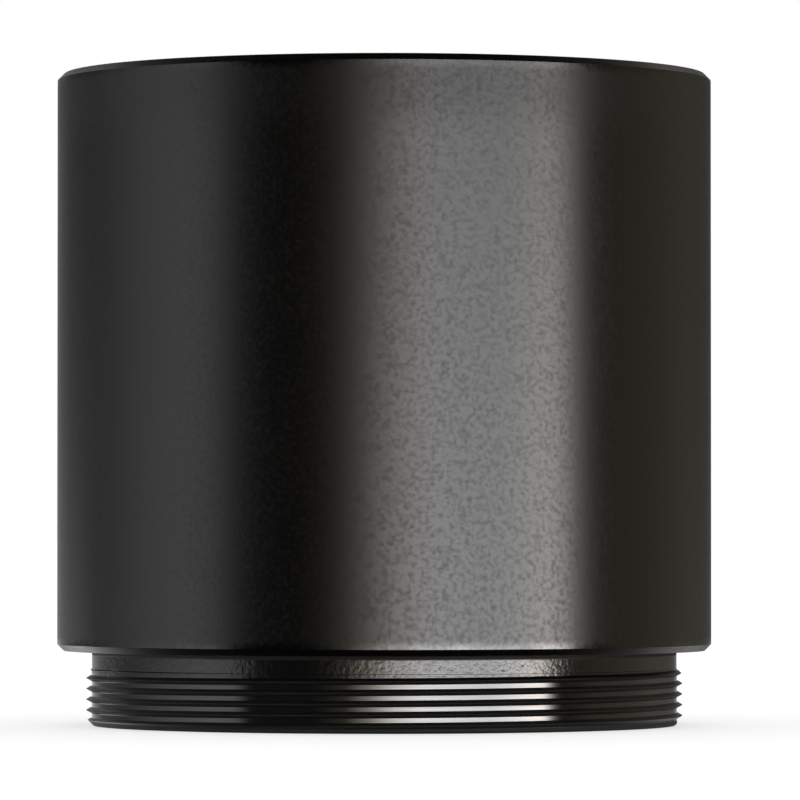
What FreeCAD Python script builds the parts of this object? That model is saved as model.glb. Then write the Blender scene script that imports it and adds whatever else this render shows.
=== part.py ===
"""A barlow lens in a 46 mm barrel with M42 x 0.75 threads at both ends: two cemented doublets in
turned cells, stacked with spacers and clamped by a lock ring. Millimetres, +Z along the optical
axis towards the camera, origin at the centre of the end face of the male thread, which the lens
stands on."""

import FreeCAD
import Part
import Sketcher

import math
import os
import re

from FreeCAD import Vector

# Radii are measured from the optical axis, heights from the end face of the male thread.
DIMENSIONS = {
    # barrel
    "barrel_radius": 23.0,
    "barrel_top": 45.75,
    "shoulder_height": 5.25,
    "edge_chamfer": 0.45,
    "nose_bore": 18.6,
    "stack_seat": 6.5,
    "stack_bore": 20.15,
    # M42 x 0.75 threads at both ends of the barrel
    "thread_pitch": 0.75,
    "crest_share": 0.125,
    "male_crest_share": 0.05,
    "male_crest": 20.95,
    "male_root": 20.59,
    "male_lead": 0.5,
    "neck_radius": 20.56,
    "neck_height": 1.63,
    "female_crest": 20.6,
    "female_root": 21.0,
    "female_depth": 6.0,
    "female_lead": 0.5,
    "relief_radius": 21.2,
    "relief_height": 0.8,
    # retaining rings and their threads
    "ring_pitch": 0.5,
    "ring_thread_depth": 0.28,
    "ring_clearance": 0.04,
    "ring_undercut": 0.3,
    "ring_height": 2.2,
    "ring_flare": 0.9,
    "slot_width": 1.4,
    "slot_depth": 0.9,
    # cemented doublets
    "steep_curve": 97.7,
    "long_curve": 428.6,
    "crown_centre": 2.2,
    "flint_centre": 3.6,
    "cement_gap": 0.01,
    "lens_clearance": 0.05,
    "cushion_section": 0.45,
    "cushion_inset": 0.45,
    "cushion_groove": 0.25,
    "cushion_clearance": 0.03,
    # front cell
    "cell_radius": 20.1,
    "cell_nose_radius": 18.5,
    "cell_nose_end": 1.2,
    "front_seat": 2.2,
    "front_opening": 16.3,
    "front_lens_radius": 17.0,
    "front_flat_radius": 16.4,
    "front_ring_radius": 17.98,
    "front_ring_opening": 15.9,
    "front_cell_top": 13.6,
    # spacers and baffle
    "spacer_bore": 18.3,
    "glare_pitch": 0.6,
    "glare_depth": 0.3,
    "baffle_foot": 18.8,
    "baffle_top": 19.6,
    "baffle_opening": 16.5,
    # rear cell
    "rear_cell_foot": 24.0,
    "rear_seat": 25.0,
    "rear_opening": 16.8,
    "rear_lens_radius": 17.5,
    "rear_flat_radius": 16.9,
    "rear_ring_radius": 18.48,
    "rear_ring_opening": 16.4,
    "rear_cell_top": 35.9,
    # shim and lock ring
    "shim_bore": 19.0,
    "lock_foot": 36.2,
    "lock_ring_radius": 20.48,
    "lock_ring_opening": 18.6,
    "small_chamfer": 0.2,
}

doc = FreeCAD.newDocument("barlow_lens")
sheet = doc.addObject("Spreadsheet::Sheet", "Sizes")
for row, (alias, size) in enumerate(DIMENSIONS.items(), start=1):
    sheet.set(f"A{row}", alias.replace("_", " "))
    sheet.set(f"B{row}", str(size))
    sheet.setAlias(f"B{row}", alias)
doc.recompute()


def bound(text):
    """The expression with every dimension in it written as a cell of the sheet."""
    return re.sub(r"\b(" + "|".join(DIMENSIONS) + r")\b", r"Sizes.\1", text)


def size_of(text):
    return float(sheet.evalExpression(bound(text)))


def sag(curve, reach):
    """How far a sphere of radius curve falls away from its vertex, that far off the axis."""
    return f"({curve} - sqrt({curve}^2 - {reach}^2))"


def new_body(label):
    body = doc.addObject("PartDesign::Body", label)
    body.Label = label
    return body


def check_cut(body, before, name):
    doc.recompute()
    if not body.Shape.Volume < before - 1e-4:
        raise RuntimeError(f"{name} of {body.Label} removed nothing")


def pin_point(sketch, line, end, across, up):
    """Ties one end of a sketch line to an expression for each of its two coordinates."""
    for kind, text, axis in (("DistanceX", across, -2), ("DistanceY", up, -1)):
        size = size_of(text)
        if abs(size) < 1e-9:
            sketch.addConstraint(Sketcher.Constraint("PointOnObject", line, end, axis))
            continue
        number = sketch.addConstraint(Sketcher.Constraint(kind, -1, 1, line, end, size))
        sketch.setExpression(f"Constraints[{number}]", bound(text))


def add_side(sketch, side, start, stop, domed):
    """Draws one side of an outline and returns the numbers of its start and stop points. A domed
    side is an arc with its centre on the optical axis."""
    if not domed:
        sketch.addGeometry(Part.LineSegment(Vector(*start, 0), Vector(*stop, 0)), False)
        return 1, 2
    span = stop[0] ** 2 + stop[1] ** 2 - start[0] ** 2 - start[1] ** 2
    centre = span / (2 * (stop[1] - start[1]))
    angles = [math.atan2(y - centre, x) for x, y in (start, stop)]
    circle = Part.Circle(Vector(0, centre, 0), Vector(0, 0, 1), math.dist(start, (0, centre)))
    sketch.addGeometry(Part.ArcOfCircle(circle, min(angles), max(angles)), False)
    sketch.addConstraint(Sketcher.Constraint("PointOnObject", side, 3, -2))
    return (1, 2) if angles[0] < angles[1] else (2, 1)


def draw(body, name, corners, domes=(), role="XZ_Plane"):
    """A closed sketch through corners, each a pair of expressions. domes lists the sides, counted
    from the first corner, that are arcs."""
    sketch = body.newObject("Sketcher::SketchObject", f"{body.Label}_{name}")
    plane = next(f for f in body.Origin.OriginFeatures if f.Role == role)
    sketch.AttachmentSupport = (plane, [""])
    sketch.MapMode = "FlatFace"
    places = [(size_of(across), size_of(up)) for across, up in corners]
    around = list(zip(range(len(places)), places, places[1:] + places[:1]))
    ends = [add_side(sketch, side, start, stop, side in domes) for side, start, stop in around]
    for side, (start, stop) in enumerate(ends):
        after = (side + 1) % len(ends)
        sketch.addConstraint(
            Sketcher.Constraint("Coincident", side, stop, after, ends[after][0])
        )
        pin_point(sketch, side, start, *corners[side])
    doc.recompute()
    return sketch


def turn(label, corners, domes=()):
    """A body turned about the optical axis from half of its section."""
    body = new_body(label)
    sketch = draw(body, "section", corners, domes)
    revolution = body.newObject("PartDesign::Revolution", f"{label}_turning")
    revolution.Profile = sketch
    revolution.ReferenceAxis = (sketch, ["V_Axis"])
    revolution.Angle = 360
    doc.recompute()
    return body


def cut_thread(body, name, pitch, crest, root, start, height, share="crest_share"):
    """Cuts a right-hand 60 degree thread: one helical groove from the crest radius to the root
    radius, its middle at height start where it crosses the XZ plane. The share is how much of
    the pitch is flat crest."""
    mouth = f"{crest} + 0.05 * ({crest} - ({root})) / abs({crest} - ({root}))"
    half_mouth = f"({pitch} * (1 - {share}) / 2 + 0.05 * tan(30))"
    half_root = f"({pitch} * (1 - {share}) / 2 - abs({crest} - ({root})) * tan(30))"
    sketch = draw(
        body,
        name,
        [
            (mouth, f"{start} - {half_mouth}"),
            (root, f"{start} - {half_root}"),
            (root, f"{start} + {half_root}"),
            (mouth, f"{start} + {half_mouth}"),
        ],
    )
    before = body.Shape.Volume
    groove = body.newObject("PartDesign::SubtractiveHelix", f"{body.Label}_{name}_groove")
    groove.Profile = sketch
    groove.ReferenceAxis = (sketch, ["V_Axis"])
    groove.Mode = "pitch-height-angle"
    groove.setExpression("Pitch", bound(pitch))
    groove.setExpression("Height", bound(height))
    check_cut(body, before, name)


def cut_spanner_slots(body, top, radius):
    """Two notches in the top face of a ring, opposite each other. They open into the bore and
    stop short of the thread."""
    reach = f"({radius} - ring_thread_depth - 2 * small_chamfer)"
    sketch = draw(
        body,
        "slots",
        [
            (f"-{reach}", "-slot_width / 2"),
            (reach, "-slot_width / 2"),
            (reach, "slot_width / 2"),
            (f"-{reach}", "slot_width / 2"),
        ],
        role="XY_Plane",
    )
    sketch.setExpression("AttachmentOffset.Base.z", bound(top))
    before = body.Shape.Volume
    pocket = body.newObject("PartDesign::Pocket", f"{body.Label}_slot_pocket")
    pocket.Profile = sketch
    pocket.setExpression("Length", bound("slot_depth"))
    check_cut(body, before, "slots")


# Heights that follow from the glass: the flat rim on the camera side of each doublet, and the
# foot of the ring that holds it.
DOUBLET_CENTRE = "crown_centre + cement_gap + flint_centre"
FRONT_RIM = (
    f"(front_seat + {sag('steep_curve', 'front_flat_radius')} + {DOUBLET_CENTRE}"
    f" + {sag('long_curve', 'front_flat_radius')})"
)
REAR_RIM = (
    f"(rear_seat + {sag('long_curve', 'rear_flat_radius')} + {DOUBLET_CENTRE}"
    f" + {sag('steep_curve', 'rear_flat_radius')})"
)
RING_LIFT = "2 * cushion_section + 0.01 - cushion_groove"
FRONT_RING_FOOT = f"({FRONT_RIM} + {RING_LIFT})"
REAR_RING_FOOT = f"({REAR_RIM} + {RING_LIFT})"
FEMALE_FLOOR = "(barrel_top - female_depth)"


def ring_thread_bore(ring_radius, foot, floor_radius):
    """Corners of a bore threaded for a ring of that radius and foot, going down: the thread's
    inner crest, the undercut it runs out into, and the step to the bore below."""
    crest = f"{ring_radius} + ring_clearance - ring_thread_depth"
    undercut = f"{ring_radius} + ring_clearance + 0.04"
    return [
        (crest, f"{foot} + ring_pitch"),
        (undercut, f"{foot} + ring_pitch"),
        (undercut, f"{foot} - ring_undercut"),
        (floor_radius, f"{foot} - ring_undercut"),
    ]


def cut_ring_bore_thread(body, ring_radius, foot, height):
    cut_thread(
        body,
        "ring_thread",
        "ring_pitch",
        f"({ring_radius} + ring_clearance - ring_thread_depth)",
        f"({ring_radius} + ring_clearance)",
        f"({foot} + ring_pitch / 2)",
        height,
    )


def make_barrel():
    """The barrel: male thread, neck and shoulder outside; nose bore, stack bore, lock ring thread
    and female thread inside."""
    thread_end = "(shoulder_height - neck_height)"
    body = turn(
        "barrel",
        [
            ("nose_bore", "small_chamfer"),
            ("nose_bore + small_chamfer", "0"),
            ("male_crest - male_lead", "0"),
            ("male_crest", "male_lead"),
            ("male_crest", thread_end),
            ("neck_radius", f"{thread_end} + male_crest - neck_radius"),
            ("neck_radius", "shoulder_height"),
            ("barrel_radius - edge_chamfer", "shoulder_height"),
            ("barrel_radius", "shoulder_height + edge_chamfer"),
            ("barrel_radius", "barrel_top - edge_chamfer"),
            ("barrel_radius - edge_chamfer", "barrel_top"),
            ("female_crest + female_lead", "barrel_top"),
            ("female_crest", "barrel_top - female_lead"),
            ("female_crest", FEMALE_FLOOR),
            ("relief_radius", FEMALE_FLOOR),
            ("relief_radius", f"{FEMALE_FLOOR} - relief_height"),
            ("lock_ring_radius + ring_clearance - ring_thread_depth",
             f"{FEMALE_FLOOR} - relief_height"),
            *ring_thread_bore("lock_ring_radius", "lock_foot", "stack_bore"),
            ("stack_bore", "stack_seat"),
            ("nose_bore", "stack_seat"),
        ],
    )
    cut_thread(
        body, "male_thread", "thread_pitch", "male_crest", "male_root",
        "(-0.56 * thread_pitch)", f"{thread_end} + 1.3 * thread_pitch", "male_crest_share",
    )
    cut_thread(
        body, "female_thread", "thread_pitch", "female_crest", "female_root",
        f"({FEMALE_FLOOR} - relief_height / 2)", "female_depth + relief_height / 2 + thread_pitch",
    )
    cut_ring_bore_thread(
        body, "lock_ring_radius", "lock_foot",
        f"{FEMALE_FLOOR} - relief_height / 2 - lock_foot - ring_pitch / 2",
    )


def make_front_cell():
    """The front cell: a nose that reaches down into the barrel's nose and a flange that stands on
    the barrel's seat. The lip at its foot carries the glass."""
    body = turn(
        "front_cell",
        [
            ("front_opening + 0.6", "cell_nose_end"),
            ("cell_nose_radius - small_chamfer", "cell_nose_end"),
            ("cell_nose_radius", "cell_nose_end + small_chamfer"),
            ("cell_nose_radius", "stack_seat"),
            ("cell_radius - small_chamfer", "stack_seat"),
            ("cell_radius", "stack_seat + small_chamfer"),
            ("cell_radius", "front_cell_top - small_chamfer"),
            ("cell_radius - small_chamfer", "front_cell_top"),
            ("front_ring_radius + small_chamfer", "front_cell_top"),
            ("front_ring_radius + ring_clearance - ring_thread_depth",
             "front_cell_top - small_chamfer - ring_thread_depth"),
            *ring_thread_bore(
                "front_ring_radius", FRONT_RING_FOOT, "front_lens_radius + lens_clearance"
            ),
            ("front_lens_radius + lens_clearance", "front_seat"),
            ("front_opening", "front_seat"),
            ("front_opening", "front_seat - small_chamfer"),
        ],
    )
    cut_ring_bore_thread(
        body, "front_ring_radius", FRONT_RING_FOOT,
        f"front_cell_top - {FRONT_RING_FOOT} + ring_pitch",
    )


def make_rear_cell():
    """The rear cell: a plain sleeve with a lip at its foot that carries the glass."""
    body = turn(
        "rear_cell",
        [
            ("rear_opening + 0.6", "rear_cell_foot"),
            ("cell_radius - small_chamfer", "rear_cell_foot"),
            ("cell_radius", "rear_cell_foot + small_chamfer"),
            ("cell_radius", "rear_cell_top - small_chamfer"),
            ("cell_radius - small_chamfer", "rear_cell_top"),
            ("rear_ring_radius + small_chamfer", "rear_cell_top"),
            ("rear_ring_radius + ring_clearance - ring_thread_depth",
             "rear_cell_top - small_chamfer - ring_thread_depth"),
            *ring_thread_bore(
                "rear_ring_radius", REAR_RING_FOOT, "rear_lens_radius + lens_clearance"
            ),
            ("rear_lens_radius + lens_clearance", "rear_seat"),
            ("rear_opening", "rear_seat"),
            ("rear_opening", "rear_seat - small_chamfer"),
        ],
    )
    cut_ring_bore_thread(
        body, "rear_ring_radius", REAR_RING_FOOT,
        f"rear_cell_top - {REAR_RING_FOOT} + ring_pitch",
    )


def make_front_doublet():
    """The biconcave crown with its flat rim on the front cell's lip, and the meniscus flint
    cemented on its camera side."""
    steep = sag("steep_curve", "front_flat_radius")
    long = sag("long_curve", "front_flat_radius")
    crown_back = f"front_seat + {steep} + crown_centre"
    flint_front = f"{crown_back} + cement_gap"
    turn(
        "front_crown",
        [
            ("0", f"front_seat + {steep}"),
            ("front_flat_radius", "front_seat"),
            ("front_lens_radius - small_chamfer", "front_seat"),
            ("front_lens_radius", "front_seat + small_chamfer"),
            ("front_lens_radius", f"{crown_back} + {steep} - small_chamfer"),
            ("front_lens_radius - small_chamfer", f"{crown_back} + {steep}"),
            ("front_flat_radius", f"{crown_back} + {steep}"),
            ("0", crown_back),
        ],
        domes=(0, 6),
    )
    turn(
        "front_flint",
        [
            ("0", flint_front),
            ("front_flat_radius", f"{flint_front} + {steep}"),
            ("front_lens_radius - small_chamfer", f"{flint_front} + {steep}"),
            ("front_lens_radius", f"{flint_front} + {steep} + small_chamfer"),
            ("front_lens_radius", f"{FRONT_RIM} - small_chamfer"),
            ("front_lens_radius - small_chamfer", FRONT_RIM),
            ("front_flat_radius", FRONT_RIM),
            ("0", f"{FRONT_RIM} - {long}"),
        ],
        domes=(0, 6),
    )


def make_rear_doublet():
    """The meniscus flint with its flat rim on the rear cell's lip, and the biconcave crown
    cemented on its camera side."""
    steep = sag("steep_curve", "rear_flat_radius")
    long = sag("long_curve", "rear_flat_radius")
    flint_back = f"rear_seat + {long} + flint_centre"
    crown_front = f"{flint_back} + cement_gap"
    turn(
        "rear_flint",
        [
            ("0", f"rear_seat + {long}"),
            ("rear_flat_radius", "rear_seat"),
            ("rear_lens_radius - small_chamfer", "rear_seat"),
            ("rear_lens_radius", "rear_seat + small_chamfer"),
            ("rear_lens_radius", f"{flint_back} - {steep} - small_chamfer"),
            ("rear_lens_radius - small_chamfer", f"{flint_back} - {steep}"),
            ("rear_flat_radius", f"{flint_back} - {steep}"),
            ("0", flint_back),
        ],
        domes=(0, 6),
    )
    turn(
        "rear_crown",
        [
            ("0", crown_front),
            ("rear_flat_radius", f"{crown_front} - {steep}"),
            ("rear_lens_radius - small_chamfer", f"{crown_front} - {steep}"),
            ("rear_lens_radius", f"{crown_front} - {steep} + small_chamfer"),
            ("rear_lens_radius", f"{REAR_RIM} - small_chamfer"),
            ("rear_lens_radius - small_chamfer", REAR_RIM),
            ("rear_flat_radius", REAR_RIM),
            ("0", f"{crown_front} + crown_centre"),
        ],
        domes=(0, 6),
    )


def make_cushion(label, lens_radius, rim):
    """The elastomer ring between the rim of the glass and the retaining ring."""
    ring = doc.addObject("Part::Torus", label)
    ring.Label = label
    ring.setExpression("Radius1", bound(f"{lens_radius} - cushion_inset"))
    ring.setExpression("Radius2", bound("cushion_section"))
    ring.setExpression("Placement.Base.z", bound(f"{rim} + cushion_section + 0.005"))


def make_retaining_ring(label, radius, opening, lens_radius, foot):
    """A ring threaded outside, grooved underneath for its cushion, with two spanner slots."""
    groove_in = f"{lens_radius} - cushion_inset - cushion_section - cushion_clearance"
    groove_out = f"{lens_radius} - cushion_inset + cushion_section + cushion_clearance"
    top = f"({foot} + ring_height)"
    body = turn(
        label,
        [
            (opening, foot),
            (groove_in, foot),
            (groove_in, f"{foot} + cushion_groove"),
            (groove_out, f"{foot} + cushion_groove"),
            (groove_out, foot),
            (f"{radius} - ring_thread_depth", foot),
            (radius, f"{foot} + ring_thread_depth"),
            (radius, f"{top} - small_chamfer"),
            (f"{radius} - small_chamfer", top),
            (f"{opening} + ring_flare", top),
            (opening, f"{foot} + cushion_groove + small_chamfer"),
        ],
    )
    cut_thread(
        body, "thread", "ring_pitch", radius, f"{radius} - ring_thread_depth",
        f"({foot} - ring_pitch)", "ring_height + 2 * ring_pitch",
    )
    cut_spanner_slots(body, top, radius)


def make_spacer(label, foot, top):
    """A spacer tube with an anti-glare thread along its bore."""
    body = turn(
        label,
        [
            ("spacer_bore + small_chamfer", foot),
            ("cell_radius - small_chamfer", foot),
            ("cell_radius", f"{foot} + small_chamfer"),
            ("cell_radius", f"{top} - small_chamfer"),
            ("cell_radius - small_chamfer", top),
            ("spacer_bore + small_chamfer", top),
            ("spacer_bore", f"{top} - small_chamfer"),
            ("spacer_bore", f"{foot} + small_chamfer"),
        ],
    )
    cut_thread(
        body, "glare_thread", "glare_pitch", "spacer_bore", "spacer_bore + glare_depth",
        f"({foot} - glare_pitch)", f"{top} - {foot} + 2 * glare_pitch",
    )


def make_baffle_ring():
    """The light stop: a thin disc whose opening is bevelled to a knife edge."""
    turn(
        "baffle_ring",
        [
            ("baffle_opening + 1", "baffle_foot"),
            ("cell_radius", "baffle_foot"),
            ("cell_radius", "baffle_top"),
            ("baffle_opening", "baffle_top"),
            ("baffle_opening", "baffle_top - 0.1"),
        ],
    )


def make_stack_shim():
    """The flat shim between the rear cell and the lock ring."""
    turn(
        "stack_shim",
        [
            ("shim_bore", "rear_cell_top"),
            ("cell_radius", "rear_cell_top"),
            ("cell_radius", "lock_foot"),
            ("shim_bore", "lock_foot"),
        ],
    )


def make_lock_ring():
    """The ring threaded into the barrel that clamps the stack."""
    top = "(lock_foot + ring_height)"
    body = turn(
        "lock_ring",
        [
            ("lock_ring_opening", "lock_foot"),
            ("lock_ring_radius - ring_thread_depth", "lock_foot"),
            ("lock_ring_radius", "lock_foot + ring_thread_depth"),
            ("lock_ring_radius", f"{top} - small_chamfer"),
            ("lock_ring_radius - small_chamfer", top),
            ("lock_ring_opening + ring_flare / 2", top),
            ("lock_ring_opening", f"{top} - ring_flare"),
        ],
    )
    cut_thread(
        body, "thread", "ring_pitch", "lock_ring_radius", "lock_ring_radius - ring_thread_depth",
        "(lock_foot - ring_pitch)", "ring_height + 2 * ring_pitch",
    )
    cut_spanner_slots(body, top, "lock_ring_radius")


def write_parts():
    """Checks every object and shape, then writes each sub-part to its own STEP file."""
    doc.recompute()
    for item in doc.Objects:
        if {"Invalid", "Error"} & set(item.State):
            raise RuntimeError(f"{item.Name} did not compute: {item.State}")
    os.makedirs("parts", exist_ok=True)
    for item in doc.Objects:
        if item.TypeId not in ("PartDesign::Body", "Part::Torus"):
            continue
        if item.Shape.isNull() or not item.Shape.isValid() or len(item.Shape.Solids) != 1:
            raise RuntimeError(f"{item.Label} is not one valid solid")
        item.Shape.exportStep(f"parts/{item.Label}.step")


make_barrel()
make_front_cell()
make_front_doublet()
make_cushion("front_cushion", "front_lens_radius", FRONT_RIM)
make_retaining_ring(
    "front_retaining_ring", "front_ring_radius", "front_ring_opening", "front_lens_radius",
    FRONT_RING_FOOT,
)
make_spacer("lower_spacer", "front_cell_top", "baffle_foot")
make_baffle_ring()
make_spacer("upper_spacer", "baffle_top", "rear_cell_foot")
make_rear_cell()
make_rear_doublet()
make_cushion("rear_cushion", "rear_lens_radius", REAR_RIM)
make_retaining_ring(
    "rear_retaining_ring", "rear_ring_radius", "rear_ring_opening", "rear_lens_radius",
    REAR_RING_FOOT,
)
make_stack_shim()
make_lock_ring()
write_parts()
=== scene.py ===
import math

import bmesh
import bpy
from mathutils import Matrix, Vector


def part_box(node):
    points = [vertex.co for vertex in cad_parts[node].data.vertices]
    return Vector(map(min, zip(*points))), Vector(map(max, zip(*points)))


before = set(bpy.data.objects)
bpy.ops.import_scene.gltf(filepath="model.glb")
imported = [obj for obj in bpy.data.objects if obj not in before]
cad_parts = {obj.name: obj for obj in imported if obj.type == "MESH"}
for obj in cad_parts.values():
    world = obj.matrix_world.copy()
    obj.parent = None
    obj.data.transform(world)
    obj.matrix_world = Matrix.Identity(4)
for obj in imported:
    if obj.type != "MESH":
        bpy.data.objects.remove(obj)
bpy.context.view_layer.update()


# ---------------------------------------------------------------- camera
# A long lens level with the lower third of the barrel, a little right of its axis and tilted up
# one degree, so that both the male thread and the top edge stay in view.
stand_off = 0.467
aside = 0.00111
eye_height = 0.014
aim_height = 0.02287
camera_data = bpy.data.cameras.new("camera")
camera_data.sensor_width = 36
camera_data.lens = 298.35
camera = bpy.data.objects.new("camera", camera_data)
bpy.context.scene.collection.objects.link(camera)
camera.location = (aside, -stand_off, eye_height)
aim = Vector((aside, 0, aim_height)) - camera.location
camera.rotation_euler = aim.to_track_quat("-Z", "Y").to_euler()
bpy.context.scene.camera = camera


# ---------------------------------------------------------------- barrel
# One turned piece of aluminium: the male thread, the neck and the plain body. The body is
# bead-blasted, the neck catches a little of the blast, and the threads stay as they were cut.
# The whole piece is then dyed and anodised black, and handling polishes the edges of the wall.
mm = 0.001
wall_radius, _, barrel_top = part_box("barrel")[1]
shoulder = 5.25 * mm
chamfer = 0.45 * mm
root_radius = 20.59 * mm
crest_radius = 20.95 * mm
neck_foot = 3.5 * mm
blast_starts = 21.3 * mm
edge_width = 0.65 * mm


def finish_node(name, material):
    """Puts a finish on a piece of the frame."""
    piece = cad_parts[name]
    if not piece.material_slots:
        piece.data.materials.append(material)
    for material_slot in piece.material_slots:
        material_slot.material = material


def set_out(tree):
    """Sets the nodes out in columns, each one to the left of the nodes that it feeds."""
    column_width, row_height, longest_chain = 260, 230, 24
    column = {node: 0 for node in tree.nodes}
    for _ in range(longest_chain):
        for link in tree.links:
            column[link.from_node] = max(column[link.from_node], column[link.to_node] + 1)
    filled = {}
    for node in tree.nodes:
        if node.bl_idname != "NodeFrame":
            row = filled.get(column[node], 0)
            node.location = (-column_width * column[node], -row_height * row)
            filled[column[node]] = row + 1


black = bpy.data.materials.new("black_anodised_satin")
black.use_nodes = True
tree = black.node_tree
tree.nodes.clear()

coordinates = tree.nodes.new("ShaderNodeTexCoord")
coordinates.label = "barrel's own place"
split = tree.nodes.new("ShaderNodeSeparateXYZ")
split.label = "across, along, up"
flatten = tree.nodes.new("ShaderNodeCombineXYZ")
flatten.label = "across the axis only"
radius = tree.nodes.new("ShaderNodeVectorMath")
radius.label = "distance from the axis"
radius.operation = "LENGTH"
body = tree.nodes.new("ShaderNodeMapRange")
body.label = "1 on the body, 0 on neck, threads and bore"
body.interpolation_type = "SMOOTHSTEP"
body.inputs["From Min"].default_value = blast_starts
body.inputs["From Max"].default_value = blast_starts + 0.5 * mm
low = tree.nodes.new("ShaderNodeMath")
low.label = "1 below the shoulder"
low.operation = "LESS_THAN"
low.inputs[1].default_value = shoulder + 0.02 * mm
above_thread = tree.nodes.new("ShaderNodeMapRange")
above_thread.label = "above the male thread"
above_thread.inputs["From Min"].default_value = neck_foot
above_thread.inputs["From Max"].default_value = neck_foot + 0.3 * mm
above_thread.inputs["To Max"].default_value = 0.55
neck = tree.nodes.new("ShaderNodeMath")
neck.label = "neck, half blasted"
neck.operation = "MULTIPLY"
blasted = tree.nodes.new("ShaderNodeMath")
blasted.label = "how far it is blasted"
blasted.operation = "MAXIMUM"
place_frame = tree.nodes.new("NodeFrame")
place_frame.label = "where on the barrel"
for node in (coordinates, split, flatten, radius, body, low, above_thread, neck, blasted):
    node.parent = place_frame

grain = tree.nodes.new("ShaderNodeTexNoise")
grain.label = "craters a third of a millimetre across"
grain.inputs["Scale"].default_value = 3200
grain.inputs["Detail"].default_value = 1.5
grain.inputs["Roughness"].default_value = 0.5
deeper = tree.nodes.new("ShaderNodeMath")
deeper.label = "deeper on the neck"
deeper.operation = "MULTIPLY_ADD"
deeper.inputs[1].default_value = 12
grain_height = tree.nodes.new("ShaderNodeMath")
grain_height.label = "grain where it is blasted"
grain_height.operation = "MULTIPLY"
grain_bump = tree.nodes.new("ShaderNodeBump")
grain_bump.label = "grain as relief"
grain_bump.inputs["Strength"].default_value = 1
grain_bump.inputs["Distance"].default_value = 0.003 * mm
grain_frame = tree.nodes.new("NodeFrame")
grain_frame.label = "bead-blast grain"
for node in (grain, deeper, grain_height, grain_bump):
    node.parent = grain_frame

around = tree.nodes.new("ShaderNodeCombineXYZ")
around.label = "same all the way round"
marks = tree.nodes.new("ShaderNodeTexNoise")
marks.label = "tool marks 0.05 mm apart"
marks.inputs["Scale"].default_value = 20000
marks.inputs["Detail"].default_value = 2
unblasted = tree.nodes.new("ShaderNodeMath")
unblasted.label = "where the marks show"
unblasted.operation = "SUBTRACT"
unblasted.inputs[0].default_value = 1
mark_height = tree.nodes.new("ShaderNodeMath")
mark_height.label = "marks where it isn't blasted"
mark_height.operation = "MULTIPLY"
mark_bump = tree.nodes.new("ShaderNodeBump")
mark_bump.label = "tool marks as relief"
mark_bump.inputs["Strength"].default_value = 1
mark_bump.inputs["Distance"].default_value = 0.0012 * mm
marks_frame = tree.nodes.new("NodeFrame")
marks_frame.label = "tool marks where it isn't blasted"
for node in (around, marks, unblasted, mark_height, mark_bump):
    node.parent = marks_frame

cloud = tree.nodes.new("ShaderNodeTexNoise")
cloud.label = "uneven uptake of the dye"
cloud.inputs["Scale"].default_value = 160
cloud.inputs["Detail"].default_value = 4
dye = tree.nodes.new("ShaderNodeValToRGB")
dye.label = "black, a little warm or cold"
dye.color_ramp.elements[0].position = 0.3
dye.color_ramp.elements[0].color = (0.0009, 0.0008, 0.0009, 1)
dye.color_ramp.elements[1].position = 0.7
dye.color_ramp.elements[1].color = (0.0016, 0.0014, 0.0012, 1)
cut_dye = tree.nodes.new("ShaderNodeMix")
cut_dye.label = "threads take the dye a little greyer"
cut_dye.data_type = "RGBA"
cut_dye.inputs["A"].default_value = (0.008, 0.0075, 0.0072, 1)
bare = tree.nodes.new("ShaderNodeMath")
bare.label = "a little metal shines through there"
bare.operation = "MULTIPLY"
bare.inputs[1].default_value = 0.05
dye_frame = tree.nodes.new("NodeFrame")
dye_frame.label = "colour of the dye"
for node in (cloud, dye, cut_dye, bare):
    node.parent = dye_frame

body_rough = tree.nodes.new("ShaderNodeMapRange")
body_rough.label = "blasted roughness, speckled"
body_rough.inputs["From Min"].default_value = 0.42
body_rough.inputs["From Max"].default_value = 0.75
body_rough.inputs["To Min"].default_value = 0.299
body_rough.inputs["To Max"].default_value = 0.379
near_rim = tree.nodes.new("ShaderNodeMapRange")
near_rim.label = "a little rougher towards the rim"
near_rim.interpolation_type = "SMOOTHSTEP"
near_rim.inputs["From Min"].default_value = barrel_top - 6 * mm
near_rim.inputs["From Max"].default_value = barrel_top - 2.5 * mm
near_rim.inputs["To Max"].default_value = 0.045
blast_rough = tree.nodes.new("ShaderNodeMath")
blast_rough.label = "blasted roughness"
blast_rough.operation = "ADD"
cut_rough = tree.nodes.new("ShaderNodeMapRange")
cut_rough.label = "cut roughness"
cut_rough.inputs["To Min"].default_value = 0.08
cut_rough.inputs["To Max"].default_value = 0.14
surface_rough = tree.nodes.new("ShaderNodeMix")
surface_rough.label = "blasted or cut"
flank = tree.nodes.new("ShaderNodeMapRange")
flank.label = "torn flanks of the thread"
flank.inputs["From Min"].default_value = root_radius + 0.01 * mm
flank.inputs["From Max"].default_value = root_radius + 0.04 * mm
flank.inputs["To Max"].default_value = 0.28
crest = tree.nodes.new("ShaderNodeMapRange")
crest.label = "rounded crests of the thread"
crest.inputs["From Min"].default_value = crest_radius - 0.02 * mm
crest.inputs["From Max"].default_value = crest_radius - 0.01 * mm
crest.inputs["To Max"].default_value = 0.35
ridge = tree.nodes.new("ShaderNodeMath")
ridge.label = "flanks and crests"
ridge.operation = "ADD"
lead_in = tree.nodes.new("ShaderNodeMapRange")
lead_in.label = "torn edge where the thread begins"
lead_in.inputs["From Min"].default_value = 0.4 * mm
lead_in.inputs["From Max"].default_value = 0.32 * mm
lead_in.inputs["To Max"].default_value = 0.6
corner = tree.nodes.new("ShaderNodeMapRange")
corner.label = "dull corner under the shoulder"
corner.inputs["From Min"].default_value = shoulder - 0.34 * mm
corner.inputs["From Max"].default_value = shoulder - 0.22 * mm
dull = tree.nodes.new("ShaderNodeMath")
dull.label = "first edge and corner"
dull.operation = "MAXIMUM"
torn = tree.nodes.new("ShaderNodeMath")
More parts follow.
